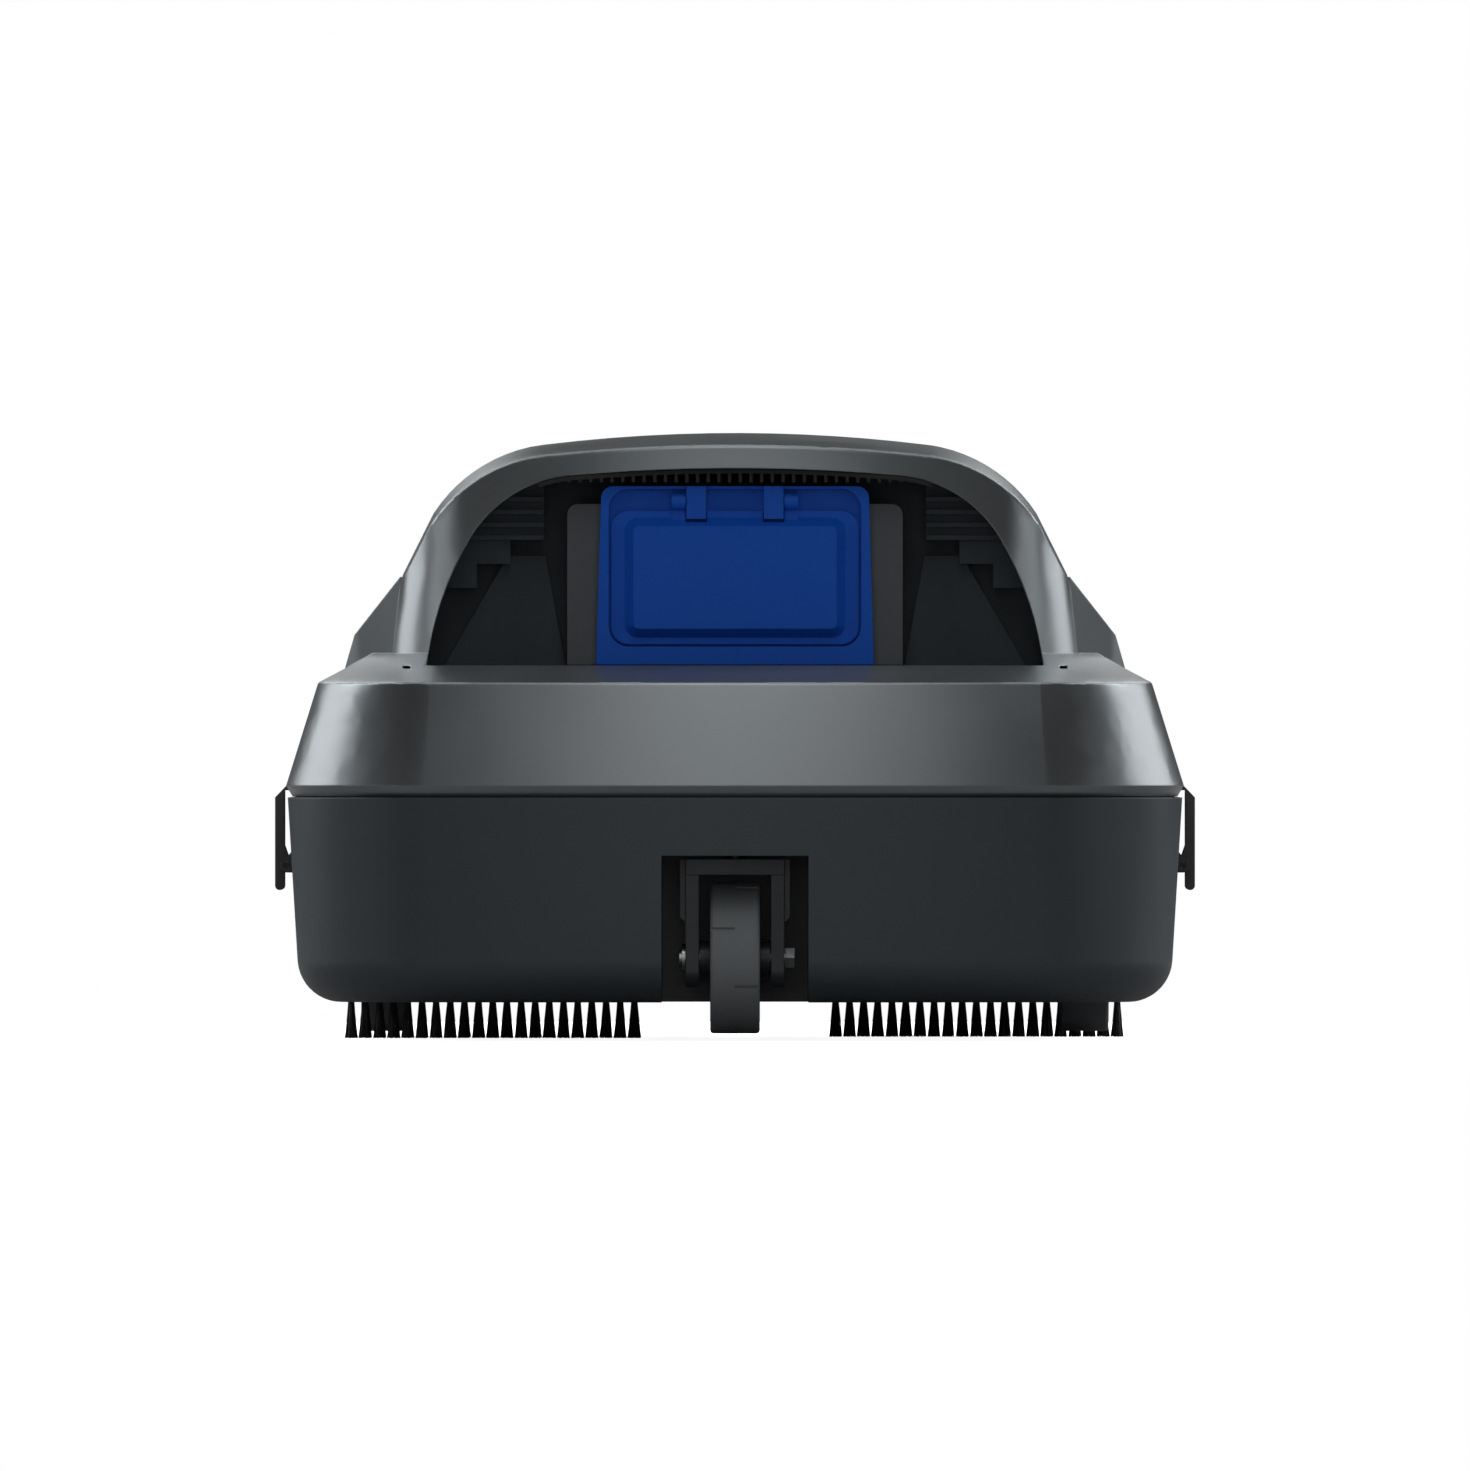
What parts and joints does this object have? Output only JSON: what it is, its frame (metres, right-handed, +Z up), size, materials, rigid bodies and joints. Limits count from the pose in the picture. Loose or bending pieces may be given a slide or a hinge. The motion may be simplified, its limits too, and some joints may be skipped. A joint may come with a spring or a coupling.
{
  "type": "pool cleaner",
  "caption": "Cordless pool-cleaning robot: dark tub hull on wheels, silver domed cover with an arched recess, hinged blue jet outlet flap, brush strips and side latches.",
  "frame": {"origin": "on the ground under the middle of the body, at the level of the brush tips", "axes": "+Z up, rear with the caster towards -Y, +X to the right as seen from the rear"},
  "size_m": [0.3464, 0.41, 0.2278],
  "materials": {
    "cover_plastic": "satin",
    "hull_plastic": "fine texture",
    "liner_plastic": "fine texture",
    "duct_plastic": "satin",
    "outlet_plastic": "satin",
    "grip_rubber": "matt",
    "seal_rubber": "matt",
    "tyre_rubber": "matt",
    "hub_plastic": "satin",
    "fork_plastic": "satin",
    "bristle_nylon": "satin",
    "latch_plastic": "satin",
    "stainless_steel": "turned",
    "motor_steel": "satin",
    "armature_steel": "laminated",
    "inner_plastic": "satin",
    "cell_sleeve": "gloss",
    "board_laminate": "satin",
    "lead_sheath": "satin",
    "impeller_plastic": "satin",
    "panel_plastic": "gloss",
    "button_rubber": "matt",
    "lens_plastic": "clear",
    "mesh_nylon": "woven"
  },
  "bodies": {
    "hull": {"lower_hull": "hull_plastic", "seam_gasket": "seal_rubber", "brush_left": "bristle_nylon", "brush_right": "bristle_nylon", "latch_pins": "stainless_steel", "wheel_axles": "stainless_steel", "inlet_throats": "inner_plastic", "inlet_pins": "stainless_steel"},
    "cover": {"upper_shell": "cover_plastic", "arch_liner_rear": "liner_plastic", "arch_liner_front": "liner_plastic", "handle_grip_rear": "grip_rubber", "handle_grip_front": "grip_rubber", "outlet_duct_rear": "duct_plastic", "outlet_duct_front": "duct_plastic", "outlet_frame_rear": "outlet_plastic", "outlet_frame_front": "outlet_plastic", "flap_pins": "stainless_steel", "chassis_plate": "inner_plastic", "cover_screws": "stainless_steel", "battery_box": "inner_plastic", "battery_lid": "inner_plastic", "battery_cells": "cell_sleeve", "control_board": "board_laminate", "motor_can": "motor_steel", "motor_caps": "inner_plastic", "motor_bearings": "stainless_steel", "shaft_seals": "seal_rubber", "motor_cradle": "inner_plastic", "motor_lead": "lead_sheath", "control_panel": "panel_plastic", "status_lens": "lens_plastic", "charging_socket": "inner_plastic", "cap_pin": "stainless_steel", "charge_lead": "lead_sheath", "filter_frame": "inner_plastic", "filter_mesh": "mesh_nylon"},
    "rotor": {"pump_shaft": "stainless_steel", "motor_armature": "armature_steel", "impeller_rear": "impeller_plastic", "impeller_front": "impeller_plastic"},
    "flap_rear": {"outlet_flap_rear": "outlet_plastic"},
    "flap_front": {"outlet_flap_front": "outlet_plastic"},
    "power_button": {"power_button": "button_rubber"},
    "socket_cap": {"socket_cap": "seal_rubber"},
    "latch_right": {"latch_right": "latch_plastic"},
    "latch_left": {"latch_left": "latch_plastic"},
    "wheel_right": {"wheel_hub_right": "hub_plastic", "wheel_tyre_right": "tyre_rubber"},
    "wheel_left": {"wheel_hub_left": "hub_plastic", "wheel_tyre_left": "tyre_rubber"},
    "caster": {"caster_fork": "fork_plastic", "king_pin": "stainless_steel", "king_clip": "stainless_steel", "caster_axle": "stainless_steel", "axle_clip": "stainless_steel"},
    "caster_wheel": {"caster_hub": "hub_plastic", "caster_tyre": "tyre_rubber"},
    "inlet_flap_right": {"inlet_flap_right": "seal_rubber"},
    "inlet_flap_left": {"inlet_flap_left": "seal_rubber"}
  },
  "joints": [
    {"name": "cover_lift", "type": "slide", "parent": "hull", "child": "cover", "axis": [0, 0, 1], "range_m": [0, 0.25]},
    {"name": "pump_spin", "type": "hinge", "parent": "cover", "child": "rotor", "pos_m": [0, 0, 0.1729], "axis": [0, 1, 0], "continuous": true},
    {"name": "flap_rear_hinge", "type": "hinge", "parent": "cover", "child": "flap_rear", "pos_m": [0, -0.1315, 0.2014], "axis": [-1, 0, 0], "range_deg": [0, 75]},
    {"name": "flap_front_hinge", "type": "hinge", "parent": "cover", "child": "flap_front", "pos_m": [0, 0.1315, 0.2014], "axis": [1, 0, 0], "range_deg": [0, 75]},
    {"name": "button_press", "type": "slide", "parent": "cover", "child": "power_button", "axis": [0, -0.9547, -0.2976], "range_m": [0, 0.0015], "stiffness_N_per_m": 900},
    {"name": "socket_cap_hinge", "type": "hinge", "parent": "cover", "child": "socket_cap", "pos_m": [-0.028, 0.19914, 0.12298], "axis": [1, 0, 0], "range_deg": [0, 100]},
    {"name": "latch_right_hinge", "type": "hinge", "parent": "hull", "child": "latch_right", "pos_m": [0.16856, 0, 0.065], "axis": [0, 1, 0], "range_deg": [0, 16], "stiffness_Nm_per_rad": 0.6},
    {"name": "latch_left_hinge", "type": "hinge", "parent": "hull", "child": "latch_left", "pos_m": [-0.16856, 0, 0.065], "axis": [0, -1, 0], "range_deg": [0, 16], "stiffness_Nm_per_rad": 0.6},
    {"name": "wheel_right_spin", "type": "hinge", "parent": "hull", "child": "wheel_right", "pos_m": [0.1314, 0, 0.03075], "axis": [1, 0, 0], "continuous": true},
    {"name": "wheel_left_spin", "type": "hinge", "parent": "hull", "child": "wheel_left", "pos_m": [-0.1314, 0, 0.03075], "axis": [1, 0, 0], "continuous": true},
    {"name": "caster_swivel", "type": "hinge", "parent": "hull", "child": "caster", "pos_m": [0, -0.168, 0.03075], "axis": [0, 0, 1], "range_deg": [-30, 30]},
    {"name": "caster_wheel_spin", "type": "hinge", "parent": "caster", "child": "caster_wheel", "pos_m": [0, -0.168, 0.03075], "axis": [1, 0, 0], "continuous": true},
    {"name": "inlet_flap_right_hinge", "type": "hinge", "parent": "hull", "child": "inlet_flap_right", "pos_m": [0.074, 0.0048, 0.0347], "axis": [1, 0, 0], "range_deg": [0, 75]},
    {"name": "inlet_flap_left_hinge", "type": "hinge", "parent": "hull", "child": "inlet_flap_left", "pos_m": [-0.074, -0.0048, 0.0347], "axis": [-1, 0, 0], "range_deg": [0, 75]}
  ]
}
